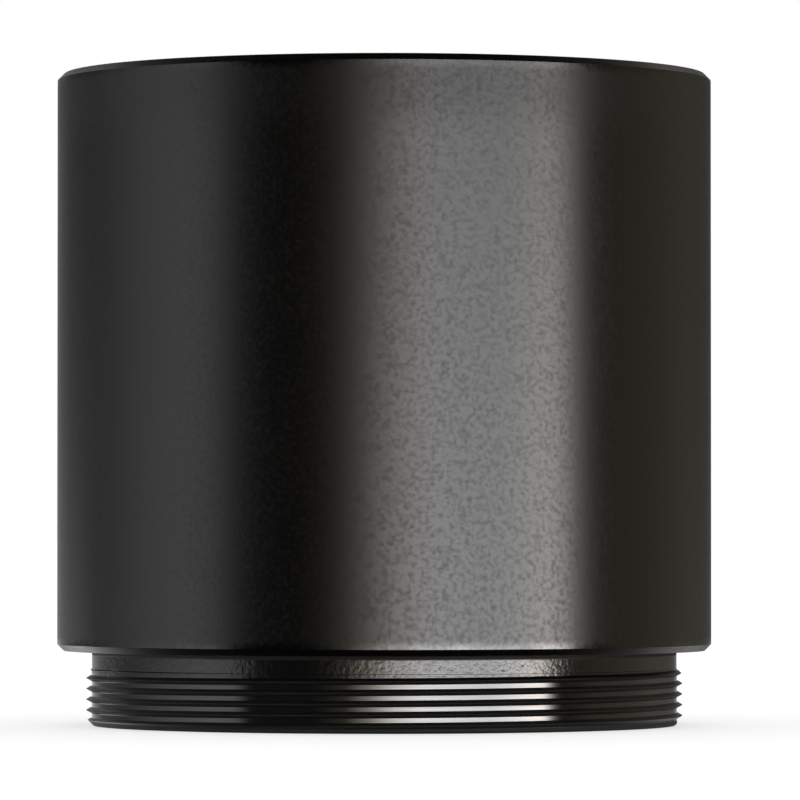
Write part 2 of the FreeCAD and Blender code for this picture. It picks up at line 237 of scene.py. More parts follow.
torn.label = "flanks, crests, first edge and corner"
torn.operation = "MAXIMUM"
male_ridge = tree.nodes.new("ShaderNodeMath")
male_ridge.label = "on the male thread only"
male_ridge.operation = "MULTIPLY"
cut_ridge = tree.nodes.new("ShaderNodeMath")
cut_ridge.label = "less where it is blasted"
cut_ridge.operation = "MULTIPLY"
rough_frame = tree.nodes.new("NodeFrame")
rough_frame.label = "roughness"
roughness = tree.nodes.new("ShaderNodeMath")
roughness.label = "surface and ridges"
roughness.operation = "ADD"
edges = []
for name, height in (("lower", shoulder + chamfer), ("upper", barrel_top - chamfer)):
    offset = tree.nodes.new("ShaderNodeMath")
    offset.label = f"height above the {name} edge"
    offset.operation = "SUBTRACT"
    offset.inputs[1].default_value = height
    distance = tree.nodes.new("ShaderNodeMath")
    distance.label = f"distance from the {name} edge"
    distance.operation = "ABSOLUTE"
    line = tree.nodes.new("ShaderNodeMapRange")
    line.label = f"fades away from the {name} edge"
    line.interpolation_type = "SMOOTHSTEP"
    line.inputs["From Min"].default_value = edge_width
    line.inputs["From Max"].default_value = 0
    tree.links.new(split.outputs["Z"], offset.inputs[0])
    tree.links.new(offset.outputs[0], distance.inputs[0])
    tree.links.new(distance.outputs[0], line.inputs["Value"])
    edges += [offset, distance, line]
either_edge = tree.nodes.new("ShaderNodeMath")
either_edge.label = "either edge"
either_edge.operation = "MAXIMUM"
at_wall = tree.nodes.new("ShaderNodeMapRange")
at_wall.label = "at the outer wall"
at_wall.inputs["From Min"].default_value = wall_radius - 0.06 * mm
at_wall.inputs["From Max"].default_value = wall_radius - 0.02 * mm
edge_polish = tree.nodes.new("ShaderNodeMath")
edge_polish.label = "edges of the wall only"
edge_polish.operation = "MULTIPLY"
patches = tree.nodes.new("ShaderNodeTexNoise")
patches.label = "rubbed in patches"
patches.inputs["Scale"].default_value = 700
patches.inputs["Detail"].default_value = 3
patch_range = tree.nodes.new("ShaderNodeMapRange")
patch_range.label = "how far it is rubbed"
patch_range.inputs["From Min"].default_value = 0.3
patch_range.inputs["From Max"].default_value = 0.7
patch_range.inputs["To Min"].default_value = 0.08
patch_range.inputs["To Max"].default_value = 0.15
polish = tree.nodes.new("ShaderNodeMath")
polish.label = "polish at the edges"
polish.operation = "MULTIPLY"
polished = tree.nodes.new("ShaderNodeMath")
polished.label = "smoother where it is polished"
polished.operation = "SUBTRACT"
edge_frame = tree.nodes.new("NodeFrame")
edge_frame.label = "edges of the wall polished by handling"
for node in (*edges, either_edge, at_wall, edge_polish, patches, patch_range, polish, polished):
    node.parent = edge_frame
for node in (body_rough, near_rim, blast_rough, cut_rough, surface_rough, flank, crest, ridge,
             lead_in, corner, dull, torn, male_ridge, cut_ridge, roughness):
    node.parent = rough_frame

surface = tree.nodes.new("ShaderNodeBsdfPrincipled")
surface.label = "anodised aluminium"
surface.inputs["IOR"].default_value = 1.6
output = tree.nodes.new("ShaderNodeOutputMaterial")

tree.links.new(coordinates.outputs["Object"], split.inputs["Vector"])
tree.links.new(split.outputs["X"], flatten.inputs["X"])
tree.links.new(split.outputs["Y"], flatten.inputs["Y"])
tree.links.new(flatten.outputs["Vector"], radius.inputs[0])
tree.links.new(radius.outputs["Value"], body.inputs["Value"])
tree.links.new(split.outputs["Z"], low.inputs[0])
tree.links.new(split.outputs["Z"], above_thread.inputs["Value"])
tree.links.new(above_thread.outputs["Result"], neck.inputs[0])
tree.links.new(low.outputs[0], neck.inputs[1])
tree.links.new(body.outputs["Result"], blasted.inputs[0])
tree.links.new(neck.outputs[0], blasted.inputs[1])
tree.links.new(coordinates.outputs["Object"], grain.inputs["Vector"])
tree.links.new(grain.outputs["Fac"], grain_height.inputs[0])
tree.links.new(neck.outputs[0], deeper.inputs[0])
tree.links.new(blasted.outputs[0], deeper.inputs[2])
tree.links.new(deeper.outputs[0], grain_height.inputs[1])
tree.links.new(grain_height.outputs[0], grain_bump.inputs["Height"])
tree.links.new(split.outputs["Z"], around.inputs["X"])
tree.links.new(radius.outputs["Value"], around.inputs["Y"])
tree.links.new(around.outputs["Vector"], marks.inputs["Vector"])
tree.links.new(blasted.outputs[0], unblasted.inputs[1])
tree.links.new(marks.outputs["Fac"], mark_height.inputs[0])
tree.links.new(unblasted.outputs[0], mark_height.inputs[1])
tree.links.new(mark_height.outputs[0], mark_bump.inputs["Height"])
tree.links.new(grain_bump.outputs["Normal"], mark_bump.inputs["Normal"])
tree.links.new(coordinates.outputs["Object"], cloud.inputs["Vector"])
tree.links.new(cloud.outputs["Fac"], dye.inputs["Fac"])
tree.links.new(blasted.outputs[0], cut_dye.inputs["Factor"])
tree.links.new(dye.outputs["Color"], cut_dye.inputs["B"])
tree.links.new(grain.outputs["Fac"], body_rough.inputs["Value"])
tree.links.new(marks.outputs["Fac"], cut_rough.inputs["Value"])
tree.links.new(blasted.outputs[0], surface_rough.inputs["Factor"])
tree.links.new(cut_rough.outputs["Result"], surface_rough.inputs["A"])
tree.links.new(split.outputs["Z"], near_rim.inputs["Value"])
tree.links.new(body_rough.outputs["Result"], blast_rough.inputs[0])
tree.links.new(near_rim.outputs["Result"], blast_rough.inputs[1])
tree.links.new(blast_rough.outputs[0], surface_rough.inputs["B"])
tree.links.new(radius.outputs["Value"], flank.inputs["Value"])
tree.links.new(radius.outputs["Value"], crest.inputs["Value"])
tree.links.new(flank.outputs["Result"], ridge.inputs[0])
tree.links.new(crest.outputs["Result"], ridge.inputs[1])
tree.links.new(split.outputs["Z"], lead_in.inputs["Value"])
tree.links.new(ridge.outputs[0], torn.inputs[0])
tree.links.new(split.outputs["Z"], corner.inputs["Value"])
tree.links.new(lead_in.outputs["Result"], dull.inputs[0])
tree.links.new(corner.outputs["Result"], dull.inputs[1])
tree.links.new(dull.outputs[0], torn.inputs[1])
tree.links.new(torn.outputs[0], male_ridge.inputs[0])
tree.links.new(low.outputs[0], male_ridge.inputs[1])
tree.links.new(male_ridge.outputs[0], cut_ridge.inputs[0])
tree.links.new(unblasted.outputs[0], cut_ridge.inputs[1])
tree.links.new(surface_rough.outputs["Result"], roughness.inputs[0])
tree.links.new(cut_ridge.outputs[0], roughness.inputs[1])
tree.links.new(edges[2].outputs["Result"], either_edge.inputs[0])
tree.links.new(edges[5].outputs["Result"], either_edge.inputs[1])
tree.links.new(radius.outputs["Value"], at_wall.inputs["Value"])
tree.links.new(either_edge.outputs[0], edge_polish.inputs[0])
tree.links.new(at_wall.outputs["Result"], edge_polish.inputs[1])
tree.links.new(coordinates.outputs["Object"], patches.inputs["Vector"])
tree.links.new(patches.outputs["Fac"], patch_range.inputs["Value"])
tree.links.new(edge_polish.outputs[0], polish.inputs[0])
tree.links.new(patch_range.outputs["Result"], polish.inputs[1])
tree.links.new(roughness.outputs[0], polished.inputs[0])
tree.links.new(polish.outputs[0], polished.inputs[1])
tree.links.new(cut_dye.outputs["Result"], surface.inputs["Base Color"])
tree.links.new(unblasted.outputs[0], bare.inputs[0])
tree.links.new(bare.outputs[0], surface.inputs["Metallic"])
tree.links.new(polished.outputs[0], surface.inputs["Roughness"])
tree.links.new(mark_bump.outputs["Normal"], surface.inputs["Normal"])
tree.links.new(surface.outputs["BSDF"], output.inputs["Surface"])
set_out(tree)
finish_node("barrel", black)


# ---------------------------------------------------------------- front cell
# A turned aluminium cell, its nose hanging into the male end, its flange standing on the barrel's
# seat. It is anodised dull black, with the fine ridges of the turning tool left on it.
def turned_black(name, dark, light, smoothest, roughest, ridge_depth):
    """Turned aluminium, anodised black: ridges round the axis, a cloudy dye and specks of dust."""
    material = bpy.data.materials.new(name)
    material.use_nodes = True
    tree = material.node_tree
    tree.nodes.clear()

    coordinates = tree.nodes.new("ShaderNodeTexCoord")
    coordinates.label = "piece's own place"
    split = tree.nodes.new("ShaderNodeSeparateXYZ")
    split.label = "across, along, up"
    flatten = tree.nodes.new("ShaderNodeCombineXYZ")
    flatten.label = "across the axis only"
    radius = tree.nodes.new("ShaderNodeVectorMath")
    radius.label = "distance from the axis"
    radius.operation = "LENGTH"
    around = tree.nodes.new("ShaderNodeCombineXYZ")
    around.label = "same all the way round"
    place_frame = tree.nodes.new("NodeFrame")
    place_frame.label = "where on the piece"
    for node in (coordinates, split, flatten, radius, around):
        node.parent = place_frame

    ridges = tree.nodes.new("ShaderNodeTexNoise")
    ridges.label = "tool ridges 0.1 mm apart"
    ridges.inputs["Scale"].default_value = 9000
    ridges.inputs["Detail"].default_value = 1
    passes = tree.nodes.new("ShaderNodeTexNoise")
    passes.label = "passes of the tool"
    passes.inputs["Scale"].default_value = 1200
    passes.inputs["Detail"].default_value = 2
    relief = tree.nodes.new("ShaderNodeMath")
    relief.label = "ridges on the passes"
    relief.operation = "MULTIPLY_ADD"
    relief.inputs[1].default_value = 0.5
    bump = tree.nodes.new("ShaderNodeBump")
    bump.label = "ridges as relief"
    bump.inputs["Strength"].default_value = 1
    bump.inputs["Distance"].default_value = ridge_depth
    ridge_frame = tree.nodes.new("NodeFrame")
    ridge_frame.label = "turning"
    for node in (ridges, passes, relief, bump):
        node.parent = ridge_frame

    cloud = tree.nodes.new("ShaderNodeTexNoise")
    cloud.label = "uneven uptake of the dye"
    cloud.inputs["Scale"].default_value = 350
    cloud.inputs["Detail"].default_value = 5
    dye = tree.nodes.new("ShaderNodeValToRGB")
    dye.label = "darker and paler black"
    dye.color_ramp.elements[0].position = 0.3
    dye.color_ramp.elements[0].color = (*dark, 1)
    dye.color_ramp.elements[1].position = 0.7
    dye.color_ramp.elements[1].color = (*light, 1)
    specks = tree.nodes.new("ShaderNodeTexNoise")
    specks.label = "where dust has settled"
    specks.inputs["Scale"].default_value = 4200
    specks.inputs["Detail"].default_value = 1
    dust = tree.nodes.new("ShaderNodeMapRange")
    dust.label = "a few specks of dust"
    dust.inputs["From Min"].default_value = 0.74
    dust.inputs["From Max"].default_value = 0.8
    dust.inputs["To Max"].default_value = 0.25
    dusty = tree.nodes.new("ShaderNodeMix")
    dusty.label = "dye under the dust"
    dusty.data_type = "RGBA"
    dusty.inputs["B"].default_value = (0.09, 0.085, 0.08, 1)
    dye_frame = tree.nodes.new("NodeFrame")
    dye_frame.label = "dye and dust"
    for node in (cloud, dye, specks, dust, dusty):
        node.parent = dye_frame

    roughness = tree.nodes.new("ShaderNodeMapRange")
    roughness.label = "smooth passes, rough passes"
    roughness.inputs["From Min"].default_value = 0.3
    roughness.inputs["From Max"].default_value = 0.7
    roughness.inputs["To Min"].default_value = smoothest
    roughness.inputs["To Max"].default_value = roughest
    surface = tree.nodes.new("ShaderNodeBsdfPrincipled")
    surface.label = "anodised aluminium"
    surface.inputs["IOR"].default_value = 1.6
    output = tree.nodes.new("ShaderNodeOutputMaterial")

    tree.links.new(coordinates.outputs["Object"], split.inputs["Vector"])
    tree.links.new(split.outputs["X"], flatten.inputs["X"])
    tree.links.new(split.outputs["Y"], flatten.inputs["Y"])
    tree.links.new(flatten.outputs["Vector"], radius.inputs[0])
    tree.links.new(radius.outputs["Value"], around.inputs["X"])
    tree.links.new(split.outputs["Z"], around.inputs["Y"])
    tree.links.new(around.outputs["Vector"], ridges.inputs["Vector"])
    tree.links.new(around.outputs["Vector"], passes.inputs["Vector"])
    tree.links.new(ridges.outputs["Fac"], relief.inputs[0])
    tree.links.new(passes.outputs["Fac"], relief.inputs[2])
    tree.links.new(relief.outputs[0], bump.inputs["Height"])
    tree.links.new(coordinates.outputs["Object"], cloud.inputs["Vector"])
    tree.links.new(coordinates.outputs["Object"], specks.inputs["Vector"])
    tree.links.new(cloud.outputs["Fac"], dye.inputs["Fac"])
    tree.links.new(specks.outputs["Fac"], dust.inputs["Value"])
    tree.links.new(dust.outputs["Result"], dusty.inputs["Factor"])
    tree.links.new(dye.outputs["Color"], dusty.inputs["A"])
    tree.links.new(passes.outputs["Fac"], roughness.inputs["Value"])
    tree.links.new(dusty.outputs["Result"], surface.inputs["Base Color"])
    tree.links.new(roughness.outputs["Result"], surface.inputs["Roughness"])
    tree.links.new(bump.outputs["Normal"], surface.inputs["Normal"])
    tree.links.new(surface.outputs["BSDF"], output.inputs["Surface"])
    set_out(tree)
    return material


cell_black = turned_black(
    "black_anodised_matt", (0.004, 0.004, 0.004), (0.009, 0.0085, 0.008), 0.3, 0.45, 0.004 * mm)
finish_node("front_cell", cell_black)


# ---------------------------------------------------------------- front crown
# The outer element of the front doublet: a hard crown glass, polished on both faces and coated
# against reflections, its ground rim painted black. It stands on the lip at the foot of the cell.
def lens_glass(name, glass, index, coating, rim_radius):
    """A polished and coated element: faint dust on its faces, black paint on its ground rim."""
    material = bpy.data.materials.new(name)
    material.use_nodes = True
    tree = material.node_tree
    tree.nodes.clear()

    coordinates = tree.nodes.new("ShaderNodeTexCoord")
    coordinates.label = "element's own place"
    split = tree.nodes.new("ShaderNodeSeparateXYZ")
    split.label = "across, along, up"
    flatten = tree.nodes.new("ShaderNodeCombineXYZ")
    flatten.label = "across the axis only"
    radius = tree.nodes.new("ShaderNodeVectorMath")
    radius.label = "distance from the axis"
    radius.operation = "LENGTH"
    face = tree.nodes.new("ShaderNodeMath")
    face.label = "1 on the faces, 0 on the rim"
    face.operation = "LESS_THAN"
    face.inputs[1].default_value = rim_radius - 0.02 * mm
    place_frame = tree.nodes.new("NodeFrame")
    place_frame.label = "faces and rim"
    for node in (coordinates, split, flatten, radius, face):
        node.parent = place_frame

    specks = tree.nodes.new("ShaderNodeTexNoise")
    specks.label = "where dust has settled"
    specks.inputs["Scale"].default_value = 2600
    specks.inputs["Detail"].default_value = 2
    dust = tree.nodes.new("ShaderNodeMapRange")
    dust.label = "a few specks of dust"
    dust.inputs["From Min"].default_value = 0.72
    dust.inputs["From Max"].default_value = 0.78
    dust.inputs["To Max"].default_value = 0.3
    wipes = tree.nodes.new("ShaderNodeTexNoise")
    wipes.label = "haze left by the cleaning cloth"
    wipes.inputs["Scale"].default_value = 130
    wipes.inputs["Detail"].default_value = 3
    wipes.inputs["Distortion"].default_value = 1.5
    haze = tree.nodes.new("ShaderNodeMapRange")
    haze.label = "hardly any haze"
    haze.inputs["From Min"].default_value = 0.45
    haze.inputs["From Max"].default_value = 0.8
    haze.inputs["To Max"].default_value = 0.05
    dulled = tree.nodes.new("ShaderNodeMath")
    dulled.label = "dust and haze"
    dulled.operation = "ADD"
    face_frame = tree.nodes.new("NodeFrame")
    face_frame.label = "dust and haze on the faces"
    for node in (specks, dust, wipes, haze, dulled):
        node.parent = face_frame

    ground = tree.nodes.new("ShaderNodeTexNoise")
    ground.label = "ground rim under the paint"
    ground.inputs["Scale"].default_value = 6000
    ground.inputs["Detail"].default_value = 2
    paint_rough = tree.nodes.new("ShaderNodeMapRange")
    paint_rough.label = "uneven paint"
    paint_rough.inputs["To Min"].default_value = 0.5
    paint_rough.inputs["To Max"].default_value = 0.8
    roughness = tree.nodes.new("ShaderNodeMix")
    roughness.label = "rim or faces"
    colour = tree.nodes.new("ShaderNodeMix")
    colour.label = "black paint or clear glass"
    colour.data_type = "RGBA"
    colour.inputs["A"].default_value = (0.006, 0.006, 0.006, 1)
    colour.inputs["B"].default_value = (*glass, 1)
    rim_frame = tree.nodes.new("NodeFrame")
    rim_frame.label = "painted rim"
    for node in (ground, paint_rough, roughness, colour):
        node.parent = rim_frame

    surface = tree.nodes.new("ShaderNodeBsdfPrincipled")
    surface.label = "coated glass"
    surface.inputs["IOR"].default_value = index
    surface.inputs["Specular Tint"].default_value = (*coating, 1)
    output = tree.nodes.new("ShaderNodeOutputMaterial")

    tree.links.new(coordinates.outputs["Object"], split.inputs["Vector"])
    tree.links.new(split.outputs["X"], flatten.inputs["X"])
    tree.links.new(split.outputs["Y"], flatten.inputs["Y"])
    tree.links.new(flatten.outputs["Vector"], radius.inputs[0])
    tree.links.new(radius.outputs["Value"], face.inputs[0])
    tree.links.new(coordinates.outputs["Object"], specks.inputs["Vector"])
    tree.links.new(coordinates.outputs["Object"], wipes.inputs["Vector"])
    tree.links.new(coordinates.outputs["Object"], ground.inputs["Vector"])
    tree.links.new(specks.outputs["Fac"], dust.inputs["Value"])
    tree.links.new(wipes.outputs["Fac"], haze.inputs["Value"])
    tree.links.new(dust.outputs["Result"], dulled.inputs[0])
    tree.links.new(haze.outputs["Result"], dulled.inputs[1])
    tree.links.new(ground.outputs["Fac"], paint_rough.inputs["Value"])
    for node in (roughness, colour):
        tree.links.new(face.outputs[0], node.inputs["Factor"])
    tree.links.new(paint_rough.outputs["Result"], roughness.inputs["A"])
    tree.links.new(dulled.outputs[0], roughness.inputs["B"])
    tree.links.new(face.outputs[0], surface.inputs["Transmission Weight"])
    tree.links.new(colour.outputs["Result"], surface.inputs["Base Color"])
    tree.links.new(roughness.outputs["Result"], surface.inputs["Roughness"])
    tree.links.new(surface.outputs["BSDF"], output.inputs["Surface"])
    set_out(tree)
    return material


crown_clear = (0.99, 1.0, 0.99)
crown_index = 1.517
green_coating = (0.25, 0.75, 0.5)
front_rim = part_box("front_crown")[1][0]
finish_node("front_crown", lens_glass(
    "crown_glass_front", crown_clear, crown_index, green_coating, front_rim))


# ---------------------------------------------------------------- front flint
# The inner element of the front doublet: a heavier flint glass, cemented to the crown by their
# matched curves. Its free face is coated as well.
flint_clear = (0.995, 0.99, 0.96)
flint_index = 1.648
violet_coating = (0.5, 0.35, 0.8)
finish_node("front_flint", lens_glass(
    "flint_glass_front", flint_clear, flint_index, violet_coating, front_rim))


# ---------------------------------------------------------------- front cushion
# A soft black rubber ring in the groove under the retaining ring, so that metal never presses on
# glass. It is moulded, with a fine matt skin.
rubber = bpy.data.materials.new("black_elastomer")
rubber.use_nodes = True
tree = rubber.node_tree
tree.nodes.clear()

coordinates = tree.nodes.new("ShaderNodeTexCoord")
coordinates.label = "ring's own place"
skin = tree.nodes.new("ShaderNodeTexNoise")
skin.label = "fine skin of the mould"
skin.inputs["Scale"].default_value = 9000
skin.inputs["Detail"].default_value = 3
bump = tree.nodes.new("ShaderNodeBump")
bump.label = "skin as relief"
bump.inputs["Strength"].default_value = 1
bump.inputs["Distance"].default_value = 0.004 * mm
bloom = tree.nodes.new("ShaderNodeTexNoise")
bloom.label = "grey bloom in patches"
bloom.inputs["Scale"].default_value = 500
bloom.inputs["Detail"].default_value = 4
colour = tree.nodes.new("ShaderNodeValToRGB")
colour.label = "black with a grey bloom"
colour.color_ramp.elements[0].position = 0.4
colour.color_ramp.elements[0].color = (0.006, 0.006, 0.006, 1)
colour.color_ramp.elements[1].position = 0.75
colour.color_ramp.elements[1].color = (0.02, 0.019, 0.018, 1)
roughness = tree.nodes.new("ShaderNodeMapRange")
roughness.label = "duller under the bloom"
roughness.inputs["To Min"].default_value = 0.5
roughness.inputs["To Max"].default_value = 0.8
surface = tree.nodes.new("ShaderNodeBsdfPrincipled")
surface.label = "rubber"
output = tree.nodes.new("ShaderNodeOutputMaterial")
skin_frame = tree.nodes.new("NodeFrame")
skin_frame.label = "moulded skin"
for node in (coordinates, skin, bump):
    node.parent = skin_frame
bloom_frame = tree.nodes.new("NodeFrame")
bloom_frame.label = "bloom"
for node in (bloom, colour, roughness):
    node.parent = bloom_frame

for node in (skin, bloom):
    tree.links.new(coordinates.outputs["Object"], node.inputs["Vector"])
tree.links.new(skin.outputs["Fac"], bump.inputs["Height"])
tree.links.new(bloom.outputs["Fac"], colour.inputs["Fac"])
tree.links.new(bloom.outputs["Fac"], roughness.inputs["Value"])
tree.links.new(colour.outputs["Color"], surface.inputs["Base Color"])
tree.links.new(roughness.outputs["Result"], surface.inputs["Roughness"])
tree.links.new(bump.outputs["Normal"], surface.inputs["Normal"])
tree.links.new(surface.outputs["BSDF"], output.inputs["Surface"])
set_out(tree)
finish_node("front_cushion", rubber)


# ---------------------------------------------------------------- front retaining ring
# A thin aluminium ring screwed down on the cushion with a pin spanner in its two slots. It is
# turned smoother than the cell, then anodised with it.
ring_black = turned_black(
    "black_anodised_ring", (0.004, 0.004, 0.004), (0.008, 0.0075, 0.0072), 0.2, 0.32, 0.003 * mm)
finish_node("front_retaining_ring", ring_black)


# ---------------------------------------------------------------- lower spacer
# A plain aluminium tube that stands on the front cell's flange. A fine thread cut all along its
# bore breaks up stray light, and the dye is left as dull as it comes.
spacer_black = turned_black(
    "black_anodised_dull", (0.003, 0.003, 0.003), (0.006, 0.006, 0.0055), 0.5, 0.7, 0.005 * mm)
finish_node("lower_spacer", spacer_black)


# ---------------------------------------------------------------- baffle ring
# A punched washer of thin steel between the two spacers, chemically blackened, whose opening stops
# light that the lenses don't use.
def rolled_metal(name, dull, bright, metallic, smoothest, roughest):
    """Sheet metal: fine rolling lines one way across it, and stains in clouds."""
    material = bpy.data.materials.new(name)
    material.use_nodes = True
    tree = material.node_tree
    tree.nodes.clear()

    coordinates = tree.nodes.new("ShaderNodeTexCoord")
    coordinates.label = "sheet's own place"
    stretch = tree.nodes.new("ShaderNodeMapping")
    stretch.label = "long one way"
    stretch.inputs["Scale"].default_value = (60, 4000, 4000)
    lines = tree.nodes.new("ShaderNodeTexNoise")
    lines.label = "rolling lines"
    lines.inputs["Scale"].default_value = 1
    lines.inputs["Detail"].default_value = 3
    bump = tree.nodes.new("ShaderNodeBump")
    bump.label = "lines as relief"
    bump.inputs["Strength"].default_value = 1
    bump.inputs["Distance"].default_value = 0.002 * mm
    roughness = tree.nodes.new("ShaderNodeMapRange")
    roughness.label = "smooth and scratched lines"
    roughness.inputs["From Min"].default_value = 0.3
    roughness.inputs["From Max"].default_value = 0.7
    roughness.inputs["To Min"].default_value = smoothest
    roughness.inputs["To Max"].default_value = roughest
    line_frame = tree.nodes.new("NodeFrame")
    line_frame.label = "rolling"
    for node in (coordinates, stretch, lines, bump, roughness):
        node.parent = line_frame

    stains = tree.nodes.new("ShaderNodeTexNoise")
    stains.label = "stains in clouds"
    stains.inputs["Scale"].default_value = 260
    stains.inputs["Detail"].default_value = 5
    colour = tree.nodes.new("ShaderNodeValToRGB")
    colour.label = "stained and clean metal"
    colour.color_ramp.elements[0].position = 0.35
    colour.color_ramp.elements[0].color = (*dull, 1)
    colour.color_ramp.elements[1].position = 0.65
    colour.color_ramp.elements[1].color = (*bright, 1)
    stain_frame = tree.nodes.new("NodeFrame")
    stain_frame.label = "stains"
    for node in (stains, colour):
        node.parent = stain_frame
    surface = tree.nodes.new("ShaderNodeBsdfPrincipled")
    surface.label = "sheet metal"
    surface.inputs["Metallic"].default_value = metallic
    output = tree.nodes.new("ShaderNodeOutputMaterial")

    tree.links.new(coordinates.outputs["Object"], stretch.inputs["Vector"])
    tree.links.new(stretch.outputs["Vector"], lines.inputs["Vector"])
    tree.links.new(lines.outputs["Fac"], bump.inputs["Height"])
    tree.links.new(lines.outputs["Fac"], roughness.inputs["Value"])
    tree.links.new(coordinates.outputs["Object"], stains.inputs["Vector"])
    tree.links.new(stains.outputs["Fac"], colour.inputs["Fac"])
    tree.links.new(colour.outputs["Color"], surface.inputs["Base Color"])
    tree.links.new(roughness.outputs["Result"], surface.inputs["Roughness"])
    tree.links.new(bump.outputs["Normal"], surface.inputs["Normal"])
    tree.links.new(surface.outputs["BSDF"], output.inputs["Surface"])
    set_out(tree)
    return material


finish_node("baffle_ring", rolled_metal(
    "blackened_steel", (0.008, 0.008, 0.01), (0.02, 0.018, 0.016), 0.3, 0.45, 0.65))


# ---------------------------------------------------------------- upper spacer
# The second plain tube, from the baffle up to the rear cell, turned and dyed like the first.
finish_node("upper_spacer", spacer_black)


# ---------------------------------------------------------------- rear cell
# The second cell, turned like the front one, carries the other doublet with its lip downwards.
finish_node("rear_cell", cell_black)


# ---------------------------------------------------------------- rear flint
# The inner element of the rear doublet, standing on the lip of the rear cell.
rear_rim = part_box("rear_crown")[1][0]
finish_node("rear_flint", lens_glass(
    "flint_glass_rear", flint_clear, flint_index, violet_coating, rear_rim))


# ---------------------------------------------------------------- rear crown
# The outer element of the rear doublet, cemented to its flint. Its hollow face looks up through
# the camera end of the barrel.
finish_node("rear_crown", lens_glass(
    "crown_glass_rear", crown_clear, crown_index, green_coating, rear_rim))


# ---------------------------------------------------------------- rear cushion
# The same soft rubber ring as in front, on the flat at the edge of the rear crown.
finish_node("rear_cushion", rubber)


# ---------------------------------------------------------------- rear retaining ring
# The slotted ring that holds the rear doublet down, its bore flared so that it cuts no light.
finish_node("rear_retaining_ring", ring_black)


# ---------------------------------------------------------------- stack shim
# A brass washer as thick as the stack is short, cut from rolled sheet and laid on the rear cell.
finish_node("stack_shim", rolled_metal(
    "brass_shim", (0.32, 0.2, 0.07), (0.62, 0.42, 0.16), 1, 0.22, 0.38))


# ---------------------------------------------------------------- lock ring
# The last ring in, screwed into the barrel below the female thread, clamps the whole stack.
finish_node("lock_ring", ring_black)


# ---------------------------------------------------------------- floor and light
# A sheet of white acrylic lit softly from below, in a tent of light: a low wide softbox at the
# front right, dim walls, a dim shine off the table, and a high panel and a low strip behind.
floor_size = 6
floor_drop = 0.02 * mm
floor_mesh = bpy.data.meshes.new("floor")
sheet = bmesh.new()
bmesh.ops.create_grid(sheet, x_segments=1, y_segments=1, size=floor_size)
sheet.to_mesh(floor_mesh)
sheet.free()
floor = bpy.data.objects.new("floor", floor_mesh)
bpy.context.scene.collection.objects.link(floor)
floor.location.z = -floor_drop
floor.visible_glossy = False

acrylic = bpy.data.materials.new("white_acrylic")
acrylic.use_nodes = True
tree = acrylic.node_tree
tree.nodes.clear()
acrylic_surface = tree.nodes.new("ShaderNodeBsdfPrincipled")
acrylic_surface.label = "acrylic lit from below"
acrylic_surface.inputs["Base Color"].default_value = (0.45, 0.45, 0.45, 1)
acrylic_surface.inputs["Roughness"].default_value = 0.9
acrylic_surface.inputs["Emission Color"].default_value = (1, 1, 1, 1)
acrylic_surface.inputs["Emission Strength"].default_value = 0.6
acrylic_output = tree.nodes.new("ShaderNodeOutputMaterial")
tree.links.new(acrylic_surface.outputs["BSDF"], acrylic_output.inputs["Surface"])
set_out(tree)
floor_mesh.materials.append(acrylic)

world = bpy.data.worlds.new("light_tent")
bpy.context.scene.world = world
world.use_nodes = True
tent = world.node_tree
tent.nodes.clear()

direction = tent.nodes.new("ShaderNodeTexCoord")
direction.label = "direction looked in"
parts = tent.nodes.new("ShaderNodeSeparateXYZ")
parts.label = "across, along, up"
minus_along = tent.nodes.new("ShaderNodeMath")
minus_along.label = "towards the front"
minus_along.operation = "MULTIPLY"
minus_along.inputs[1].default_value = -1
azimuth = tent.nodes.new("ShaderNodeMath")
azimuth.label = "angle round from the front"
azimuth.operation = "ARCTAN2"
turn = tent.nodes.new("ShaderNodeMapRange")
turn.label = "0 to 1 all the way round"
turn.inputs["From Min"].default_value = -math.pi
turn.inputs["From Max"].default_value = math.pi
elevation = tent.nodes.new("ShaderNodeMath")
elevation.label = "angle above the floor"
elevation.operation = "ARCSINE"
climb = tent.nodes.new("ShaderNodeMapRange")
climb.label = "0 straight down to 1 straight up"
climb.inputs["From Min"].default_value = -math.pi / 2
climb.inputs["From Max"].default_value = math.pi / 2
angle_frame = tent.nodes.new("NodeFrame")
angle_frame.label = "where in the tent"
for node in (direction, parts, minus_along, azimuth, turn, elevation, climb):
    node.parent = angle_frame
tent.links.new(direction.outputs["Generated"], parts.inputs["Vector"])
tent.links.new(parts.outputs["Y"], minus_along.inputs[0])
tent.links.new(parts.outputs["X"], azimuth.inputs[0])
tent.links.new(minus_along.outputs[0], azimuth.inputs[1])
tent.links.new(azimuth.outputs[0], turn.inputs["Value"])
tent.links.new(parts.outputs["Z"], elevation.inputs[0])
tent.links.new(elevation.outputs[0], climb.inputs["Value"])

